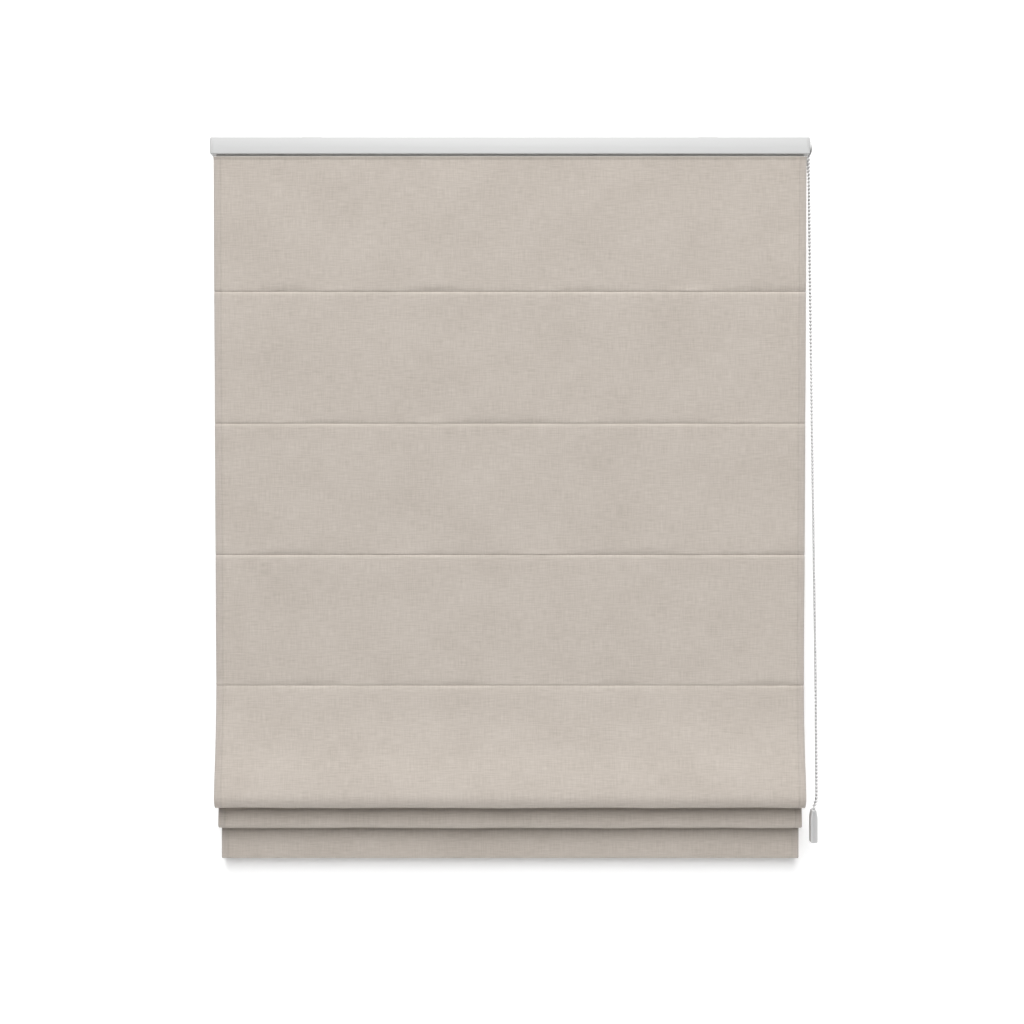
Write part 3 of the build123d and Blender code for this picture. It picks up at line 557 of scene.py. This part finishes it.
def gathered_corners(front_rod, rear_rod):
    """Corners of the two gathered folds and their pockets, down to the bottom panel's bend."""
    half = THICKNESS / 2
    corners = [(y, front_rod.z - drop + half, radius) for y, drop, radius in FRONT_FOLD]
    corners += upright_corners(front_rod, FRONT_MOUTH)
    rear_low = front_rod.z - REAR_FOLD_DROP + half
    corners.append((front_rod.y + PLY_STEP, rear_low + REAR_FOLD_BEND, REAR_BEND_RADIUS))
    for side in (0, REAR_FOLD_DEPTH):
        corners.append((REAR_FOLD_Y + side, rear_low, REAR_FOLD_RADIUS))
    corners += upright_corners(rear_rod, REAR_MOUTH)
    return corners + [(BOTTOM_PANEL_Y, rear_rod.z - BOTTOM_PANEL_BEND, BOTTOM_BEND_RADIUS)]


def hem_corners():
    """Corners of the bottom hem round its bar, up to its stitching."""
    bottom = SHEET_LOW[2] + THICKNESS / 2
    bar_low, bar_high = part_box("bottom_bar")
    back_y = BOTTOM_PANEL_Y + (bar_high[1] - bar_low[1]) + 2 * BAR_CLEARANCE + THICKNESS
    sewn_y = BOTTOM_PANEL_Y + PLY_STEP
    turn = (back_y - BOTTOM_PANEL_Y) / 2 - ARC_SLACK
    bar_top = bar_high[2] + BAR_CLEARANCE
    return [
        (BOTTOM_PANEL_Y, bottom, turn),
        (back_y, bottom, turn),
        (back_y, bar_top, HEM_EASE),
        (sewn_y, bar_top + HEM_CLOSING, HEM_EASE),
        (sewn_y, bottom + HEM_HEIGHT, 0),
    ]


def sheet_route():
    """Corners of the sheet's middle line from heading to hem, as (y, z, radius)."""
    rods = [middle(f"rod_{number}") for number in range(1, RODS + 1)]
    route = heading_corners()
    for rod in rods[:CREASES]:
        route += crease_corners(rod)
    last_z = rods[CREASES - 1].z
    route += [(hanging_y(last_z) - forward, last_z - drop, radius) for forward, drop, radius in LOWER_PANEL]
    return route + gathered_corners(*rods[CREASES:]) + hem_corners()


def straight(start, end, tight_start, tight_end):
    """Points from start up to, but not at, end, each with its freedom to ripple."""
    length = (end - start).length
    count = max(1, math.ceil(length / SHEET_STEP))
    points = []
    for number in range(count):
        gone = length * number / count
        freedom = min(1.0, gone / RIPPLE_RUN_IN if tight_start else 1.0)
        freedom = min(freedom, (length - gone) / RIPPLE_RUN_IN if tight_end else 1.0)
        points.append((start.lerp(end, number / count), freedom * freedom * (3 - 2 * freedom)))
    return points


def arc(begin, into, turn, radius):
    """Points of an arc that sets off along a direction, up to, but not at, its end."""
    side = Vector((-into.y, into.x)) if turn < 0 else Vector((into.y, -into.x))
    centre = begin + side * radius
    spoke = begin - centre
    steps = max(1, math.ceil(abs(turn) / ARC_STEP))
    points = []
    for step in range(steps):
        angle = -turn * step / steps
        points.append(centre + Vector((spoke.x * math.cos(angle) - spoke.y * math.sin(angle),
                                       spoke.x * math.sin(angle) + spoke.y * math.cos(angle))))
    return points


def sheet_line(route):
    """The rounded middle line as points (y, z) with their freedom to ripple."""
    points = []
    here = Vector(route[0][:2])
    tight = True
    for before, (y, z, radius), after in zip(route, route[1:], route[2:]):
        corner = Vector((y, z))
        into = (corner - Vector(before[:2])).normalized()
        out = (Vector(after[:2]) - corner).normalized()
        if radius == 0:
            points += straight(here, corner, tight, True) + [(corner, 0.0)]
            here = corner + out * SHARP_STEP
            tight = True
            continue
        turn = into.angle_signed(out)
        cut = radius * math.tan(abs(turn) / 2)
        begin = corner - into * cut
        tight_here = radius < TIGHT_RADIUS
        points += straight(here, begin, tight, tight_here)
        points += [(spot, 0.0 if tight_here else 1.0) for spot in arc(begin, into, turn, radius)]
        here = corner + out * cut
        tight = tight_here
    end = Vector(route[-1][:2])
    return points + straight(here, end, tight, True) + [(end, 0.0)]


def split_height(line, height):
    """Puts a point at a height, on the way down after the last crease, and gives its place in the line."""
    last_crease = middle(f"rod_{CREASES}").z
    for number in range(1, len(line)):
        above, below = line[number - 1][0], line[number][0]
        if above.y < last_crease and above.y > height >= below.y:
            share = (above.y - height) / (above.y - below.y)
            line.insert(number, (above.lerp(below, share), line[number - 1][1]))
            return number
    raise ValueError("the sheet doesn't pass that height")


def pocket_ends(line):
    """Places in the line where the cloth goes into and comes out of each crease's pocket."""
    ends = []
    for number in range(1, CREASES + 1):
        rod = middle(f"rod_{number}")
        front = hanging_y(rod.z)
        for depth, side in ((CREASE_ABOVE[1], PLY_STEP / 2), (CREASE_BELOW[1], -PLY_STEP / 2)):
            corner = Vector((front + depth, rod.z + side))
            near = (n for n, point in enumerate(line) if (point[0] - corner).length < SHARP_STEP / 2)
            ends.append(next(near))
    return ends


def sheet_stations(line):
    """The line's points with their lengths along the cloth and their normals."""
    stations = []
    length = 0.0
    for number, (spot, freedom) in enumerate(line):
        before = line[max(number - 1, 0)][0]
        after = line[min(number + 1, len(line) - 1)][0]
        run = (after - before).normalized()
        length += (spot - before).length
        stations.append(Station(spot, freedom, length, Vector((-run.y, run.x))))
    return stations


def columns():
    """Places across the sheet: close together at the side hems, then even."""
    half = SHEET_HALF - SIDE_INSET
    edge = [*HEM_COLUMNS, SIDE_SEAM - SEAM_WIDTH / 2, SIDE_SEAM, SIDE_SEAM + SEAM_WIDTH / 2]
    edge += [SIDE_HEM + step for step in PLAIN_COLUMNS]
    inner = half - edge[-1]
    count = round(2 * inner / COLUMN_STEP)
    across = [-inner + 2 * inner * number / count for number in range(1, count)]
    return [e - half for e in edge] + across + [half - e for e in reversed(edge)]


def ripple(x, s):
    """Slight unevenness of hanging cloth: waves in radians a metre, at a place across and a length along."""
    broad = math.sin(x * 23.0 + 1.3 * math.sin(s * 9.0))
    narrow = 0.6 * math.sin(x * 51.0 + s * 13.0 + 1.7)
    slanting = 0.5 * math.sin(x * 9.0 - s * 31.0)
    return RIPPLE * (broad + narrow + slanting)


def seam_dip(distance):
    """Depth of the side seam's stitched line at a distance from the sheet's edge."""
    away = abs(distance - SIDE_SEAM) / SEAM_WIDTH
    return SEAM_DEPTH * max(0.0, 1 - away * away)


def sheet_faces(rows, cols):
    """Faces of a closed sheet whose points come in rows of columns, each with a front and a back point."""

    def index(row, column, side):
        return 2 * (row * cols + column) + side

    def rim(first, second, flip):
        quad = [index(*first, 0), index(*first, 1), index(*second, 1), index(*second, 0)]
        return quad[::-1] if flip else quad

    faces = []
    for row in range(rows - 1):
        for column in range(cols - 1):
            quad = [(row, column), (row, column + 1), (row + 1, column + 1), (row + 1, column)]
            faces.append([index(r, c, 0) for r, c in reversed(quad)])
            faces.append([index(r, c, 1) for r, c in quad])
        for column, flip in ((0, False), (cols - 1, True)):
            faces.append(rim((row, column), (row + 1, column), flip))
    for row, flip in ((0, True), (rows - 1, False)):
        for column in range(cols - 1):
            faces.append(rim((row, column), (row, column + 1), flip))
    return faces


def sheet_piece(name, stations):
    """Part of the sheet as a closed mesh with two faces, side hems and seams."""
    places = columns()
    half_width = -places[0]
    verts, cloth = [], []
    for station in stations:
        for x in places:
            edge = half_width - abs(x)
            push = ripple(x, station.length) * station.freedom
            front = THICKNESS / 2 - seam_dip(edge)
            back = THICKNESS / 2 + (HEM_PLY * station.freedom if edge < SIDE_HEM else 0.0)
            for reach in (push - front, push + back):
                place = station.spot + station.normal * reach
                verts.append((x, place.x, place.y))
                cloth.append((x, station.length, 0.0))
    obj = piece(name, verts, sheet_faces(len(stations), len(places)), "linen")
    values = [value for point in cloth for value in point]
    obj.data.attributes.new("cloth", "FLOAT_VECTOR", "POINT").data.foreach_set("vector", values)
    obj.data.set_sharp_from_angle(angle=EDGE_ANGLE)
    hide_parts("fabric")
    return obj


def make_sheet():
    """The sheet: panels hung from the rail, pockets that go with their rods, and the gathered folds."""
    line = sheet_line(sheet_route())
    split = split_height(line, middle(f"rod_{CREASES + 1}").z + SPLIT_ABOVE_ROD)
    stations = sheet_stations(line)
    width = 2 * abs(columns()[0])

    def part(name, start, end, body, held, rests_on):
        obj = sheet_piece(name, stations[start:end + 1])
        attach(obj, body)
        return obj

    ends = [0, *pocket_ends(line), split]
    for number in range(1, CREASES + 2):
        above, below = ends[2 * number - 2], ends[2 * number - 1]
        carrier = "heading_strip" if number == 1 else f"rod_{number - 1}"
        panel = part(f"sheet_panel_{number}", above, below, "rail", "hung", [carrier])
        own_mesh(panel)
    for number in range(1, CREASES + 1):
        into, out = ends[2 * number - 1], ends[2 * number]
        part(f"sheet_pocket_{number}", into, out, f"rod_{number}_set", "stretched", [f"rod_{number}"])
    part("sheet_gathered", split, len(line) - 1, "fold_pack", "folded", ["rod_5", "rod_6"])


# Bead chain

# Route of the chain between its wheel and its weight
FRONT_STRAND = [
    (0.5005, -0.0077, -0.095),
    (0.5046, -0.0071, -0.430),
    (0.5080, -0.0065, -0.650),
    (0.5102, -0.0061, -0.790),
    (0.5120, -0.0057, -0.900),
    (0.51379, -0.00476, -1.0986),
    (0.5139, -0.0047, -1.111),
    (WEIGHT_X, -CHAIN_LOOP_RADIUS, -1.1225),
    (WEIGHT_X, -CHAIN_LOOP_RADIUS, -1.1319),
    (WEIGHT_X, -CHAIN_LOOP_RADIUS, WEIGHT_LOOP + 2 * CHAIN_LOOP_RADIUS),
]
REAR_STRAND = [
    (WEIGHT_X, CHAIN_LOOP_RADIUS, WEIGHT_LOOP + 2 * CHAIN_LOOP_RADIUS),
    (WEIGHT_X, CHAIN_LOOP_RADIUS, -1.1225),
    (0.5161, 0.0047, -1.107),
    (0.5160, 0.00479, -1.0901),
    (0.5149, 0.0057, -0.904),
    (0.5132, 0.0061, -0.786),
    (0.5113, 0.0065, -0.652),
    (0.5081, 0.0071, -0.426),
    (0.50418, 0.00767, -0.1206),
    (0.5036, 0.00775, -0.058),
]


def wheel_corners(side):
    """Corners of the cord where it lies on the wheel, from the top down on one side."""
    half_turn = math.pi / WHEEL_POCKETS
    reach = WHEEL_PITCH_RADIUS / math.cos(half_turn)
    corners = [(WHEEL_X, side * ARC_SLACK, WHEEL_Z + WHEEL_PITCH_RADIUS)]
    for number in (1, 3):
        turn = number * half_turn
        corners.append((WHEEL_X, side * reach * math.sin(turn), WHEEL_Z + reach * math.cos(turn)))
    for drop in (WHEEL_PITCH_RADIUS * math.tan(half_turn), WHEEL_LEAVE):
        corners.append((WHEEL_X, side * WHEEL_PITCH_RADIUS, WHEEL_Z - drop))
    return corners


def chain_route():
    """Points of the chain's spline."""
    bottom = [(WEIGHT_X, -CHAIN_LOOP_RADIUS, WEIGHT_LOOP), (WEIGHT_X, CHAIN_LOOP_RADIUS, WEIGHT_LOOP)]
    return wheel_corners(-1) + FRONT_STRAND + bottom + REAR_STRAND + wheel_corners(1)[::-1]


def chain_curve():
    """The chain's cord as a smooth curve."""
    data = bpy.data.curves.new("chain_core", "CURVE")
    data.dimensions = "3D"
    data.resolution_u = 24
    data.bevel_depth = CHAIN_CORD_RADIUS
    data.bevel_resolution = 2
    spline = data.splines.new("NURBS")
    route = chain_route()
    spline.points.add(len(route) - 1)
    for point, place in zip(spline.points, route):
        point.co = (*place, 1.0)
    spline.order_u = 3
    spline.use_endpoint_u = True
    data.materials.append(MATERIALS["chain_cord"])
    obj = new_object("chain_core", data)
    return obj


def spline_points(curve):
    """Points along a curve's own line."""
    bevel = curve.data.bevel_depth
    curve.data.bevel_depth = 0
    graph = bpy.context.evaluated_depsgraph_get()
    mesh = bpy.data.meshes.new_from_object(curve.evaluated_get(graph))
    points = [vertex.co.copy() for vertex in mesh.vertices]
    bpy.data.meshes.remove(mesh)
    curve.data.bevel_depth = bevel
    bpy.context.view_layer.update()
    return points


def along(points, pitch, start):
    """Places and directions at an even pitch along a line of points."""
    places = []
    want, gone = start, 0.0
    for before, after in zip(points, points[1:]):
        step = (after - before).length
        while step > 0 and gone + step >= want:
            places.append((before.lerp(after, (want - gone) / step), (after - before).normalized()))
            want += pitch
        gone += step
    return places


def bead_shape():
    """A round bead, slightly drawn out along the cord, as points and faces."""
    tip = BEAD_RADIUS * BEAD_STRETCH
    verts = [(0, 0, -tip)]
    for ring in range(1, BEAD_RINGS):
        rise = -tip * math.cos(math.pi * ring / BEAD_RINGS)
        girth = BEAD_RADIUS * math.sin(math.pi * ring / BEAD_RINGS)
        for number in range(BEAD_SEGMENTS):
            turn = 2 * math.pi * number / BEAD_SEGMENTS
            verts.append((girth * math.cos(turn), girth * math.sin(turn), rise))
    verts.append((0, 0, tip))
    last = 1 + (BEAD_RINGS - 2) * BEAD_SEGMENTS
    faces = []
    for number in range(BEAD_SEGMENTS):
        after = (number + 1) % BEAD_SEGMENTS
        faces.append((0, 1 + after, 1 + number))
        faces.append((len(verts) - 1, last + number, last + after))
        for low in range(1, last, BEAD_SEGMENTS):
            high = low + BEAD_SEGMENTS
            faces.append((low + number, low + after, high + after, high + number))
    return verts, faces


def make_chain():
    """The endless bead chain with its beads, down to the weight at its lower end."""
    curve = chain_curve()
    shape, shape_faces = bead_shape()
    row = []
    for place, direction in along(spline_points(curve), CHAIN_PITCH, CHAIN_PITCH / 2):
        turn = direction.to_track_quat("Z", "Y")
        row.append(([turn @ Vector(v) + place for v in shape], shape_faces))
    beads = piece("chain_bead_row", *joined(row), "bead_plastic")
    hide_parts("chain_beads")
    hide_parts("chain_cord")
    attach(curve, "rail")
    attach(beads, "rail")


# Lift cords and rings

def coil(x, drum, radius):
    """Points of a cord wound round a drum, with the middle of its turns at x."""
    points = []
    for number in range(WOUND_TURNS * TURN_STEPS + 1):
        turns = number / TURN_STEPS
        angle = 2 * math.pi * turns
        points.append(Vector((x + WOUND_PITCH * (turns - WOUND_TURNS / 2),
                              drum.y + radius * math.cos(angle), drum.z - radius * math.sin(angle))))
    return points


def make_lift_cord(place):
    """A lift cord: the turns on its drum, and the length that hangs from the rail."""
    node = f"lift_cord_{place}"
    low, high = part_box(node)
    x = middle(node).x
    drum = middle(f"spool_{place}")
    wound_radius = (high[2] - drum.z) - CORD_RADIUS
    top = Vector((x, wound_radius, drum.z))
    end = Vector((x, wound_radius + LEAN * (drum.z - low[2]), low[2]))
    rail_exit = top.lerp(end, (top.z - RAIL_BOTTOM) / (top.z - end.z))
    turns = tube(coil(x, drum, wound_radius), WOUND_RADIUS, WOUND_SIDES)
    run_out = tube([top, rail_exit], CORD_RADIUS)
    wound = piece(f"lift_cord_{place}_wound", *joined([turns, run_out]), "lift_cord")
    drop = [rail_exit.lerp(end, number / HANGING_STEPS) for number in range(HANGING_STEPS + 1)]
    hang = piece(f"lift_cord_{place}_hanging", *tube(drop, CORD_RADIUS), "lift_cord")
    for part in (wound, hang):
        part.data.set_sharp_from_angle(angle=EDGE_ANGLE)
        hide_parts(node)
        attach(part, "rail")
    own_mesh(hang)


def ring_shape(height):
    """A round ring with rounded edges, as points and faces round the Z axis."""
    half = height / 2
    section = [(RING_INNER, -half + RING_BEVEL), (RING_INNER + RING_BEVEL, -half)]
    section += [(RING_OUTER - RING_BEVEL, -half), (RING_OUTER, -half + RING_BEVEL)]
    section += [(radius, -z) for radius, z in reversed(section)]
    verts, faces = [], []
    for side in range(RING_SIDES):
        angle = 2 * math.pi * side / RING_SIDES
        verts += [(radius * math.cos(angle), radius * math.sin(angle), z) for radius, z in section]
    for side in range(RING_SIDES):
        low, high = side * len(section), (side + 1) % RING_SIDES * len(section)
        for number in range(len(section)):
            after = (number + 1) % len(section)
            faces.append((low + number, high + number, high + after, low + after))
    return verts, faces


def make_rings(number):
    """The three rings on one rod's pocket."""
    node = f"cord_rings_{number}"
    low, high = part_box(node)
    shape, shape_faces = ring_shape(high[2] - low[2])
    centre = middle(node)
    copies = []
    for place in CORD_PLACES:
        x = middle(f"lift_cord_{place}").x
        copies.append(([(x + v[0], centre.y + v[1], centre.z + v[2]) for v in shape], shape_faces))
    rings = piece(f"rings_{number}", *joined(copies), "ring_plastic")
    rings.data.set_sharp_from_angle(angle=EDGE_ANGLE)
    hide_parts(node)
    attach(rings, f"rod_{number}_set" if number <= CREASES else "fold_pack")


# Stage

def link_mix(tree, factor, first, second, output):
    """Links a mix of two shaders to an output node."""
    mix = add(tree, "ShaderNodeMixShader")
    for source, socket in zip((factor, first.outputs[0], second.outputs[0]), mix.inputs):
        tree.links.new(source, socket)
    tree.links.new(mix.outputs[0], tree.nodes[output].inputs["Surface"])


def wall_paint():
    """Pale paint with a faint glow, clear from behind."""
    mat, tree, shader = new_material("backdrop", roughness=0.9, colour=WALL_COLOUR)
    shader.inputs["Specular IOR Level"].default_value = 0.0
    shader.inputs["Emission Color"].default_value = (1, 1, 1, 1)
    shader.inputs["Emission Strength"].default_value = WALL_GLOW
    behind = add(tree, "ShaderNodeNewGeometry").outputs["Backfacing"]
    link_mix(tree, behind, shader, add(tree, "ShaderNodeBsdfTransparent"), "Material Output")
    return mat


def backdrop():
    """A pale wall that curves into the floor."""
    cove_y, cove_z = WALL_Y - COVE_RADIUS, FLOOR_Z + COVE_RADIUS
    profile = [(WALL_Y, WALL_HEIGHT), (WALL_Y, cove_z)]
    for number in range(1, COVE_STEPS + 1):
        angle = math.pi / 2 * number / COVE_STEPS
        profile.append((cove_y + COVE_RADIUS * math.cos(angle), cove_z - COVE_RADIUS * math.sin(angle)))
    profile.append((WALL_Y - FLOOR_DEPTH, FLOOR_Z))
    verts = [(x, y, z) for y, z in profile for x in (-WALL_HALF_WIDTH, WALL_HALF_WIDTH)]
    faces = [(2 * n, 2 * n + 2, 2 * n + 3, 2 * n + 1) for n in range(len(profile) - 1)]
    mesh = bpy.data.meshes.new("backdrop")
    mesh.from_pydata(verts, [], faces)
    mesh.shade_smooth()
    mesh.materials.append(wall_paint())
    obj = new_object("backdrop", mesh)


def area_light(name, place, size, power, spread=180):
    """A soft rectangular light that points at the blind, with its beam's spread in degrees."""
    data = bpy.data.lights.new(name, "AREA")
    data.shape = "RECTANGLE"
    data.size, data.size_y = size
    data.energy = power
    data.spread = math.radians(spread)
    obj = new_object(name, data)
    obj.location = place
    obj.rotation_euler = (Vector(LIT_PLACE) - Vector(place)).to_track_quat("-Z", "Y").to_euler()


def lights():
    """Three panels in front and above, and two behind for the back."""
    for name, elevation, power in KEY_PANELS:
        turn = math.radians(elevation)
        place = (0, -KEY_DISTANCE * math.cos(turn), LIT_PLACE[2] + KEY_DISTANCE * math.sin(turn))
        area_light(name, place, KEY_SIZE, power)
    for name, height, power, spread in REAR_PANELS:
        area_light(name, (REAR_X, REAR_Y, height), REAR_SIZE, power, spread)


def surroundings():
    """A world that lights the blind faintly and looks pale to the camera."""
    world = bpy.data.worlds.new("studio")
    world.use_nodes = True
    tree = world.node_tree
    glow = tree.nodes["Background"]
    glow.inputs["Color"].default_value = (1, 1, 1, 1)
    glow.inputs["Strength"].default_value = WORLD_LIGHT
    seen = add(tree, "ShaderNodeBackground", Color=(1, 1, 1, 1), Strength=WORLD_SEEN)
    link_mix(tree, add(tree, "ShaderNodeLightPath").outputs["Is Camera Ray"], glow, seen, "World Output")
    bpy.context.scene.world = world


def camera():
    """Camera straight in front, as far away as the photograph's perspective says."""
    data = bpy.data.cameras.new("camera")
    data.sensor_width = SENSOR
    data.lens = SENSOR * FOCAL_PIXELS / PHOTO_PIXELS
    obj = new_object("camera", data)
    obj.location = CAMERA_PLACE
    obj.rotation_euler = (math.pi / 2, 0, 0)
    bpy.context.scene.camera = obj


camera()
lights()
surroundings()
backdrop()
finish_nodes()
make_sheet()
make_chain()
for cord_place in CORD_PLACES:
    make_lift_cord(cord_place)
for rod_number in range(1, RODS + 1):
    make_rings(rod_number)
bpy.context.scene.view_settings.view_transform = "Standard"
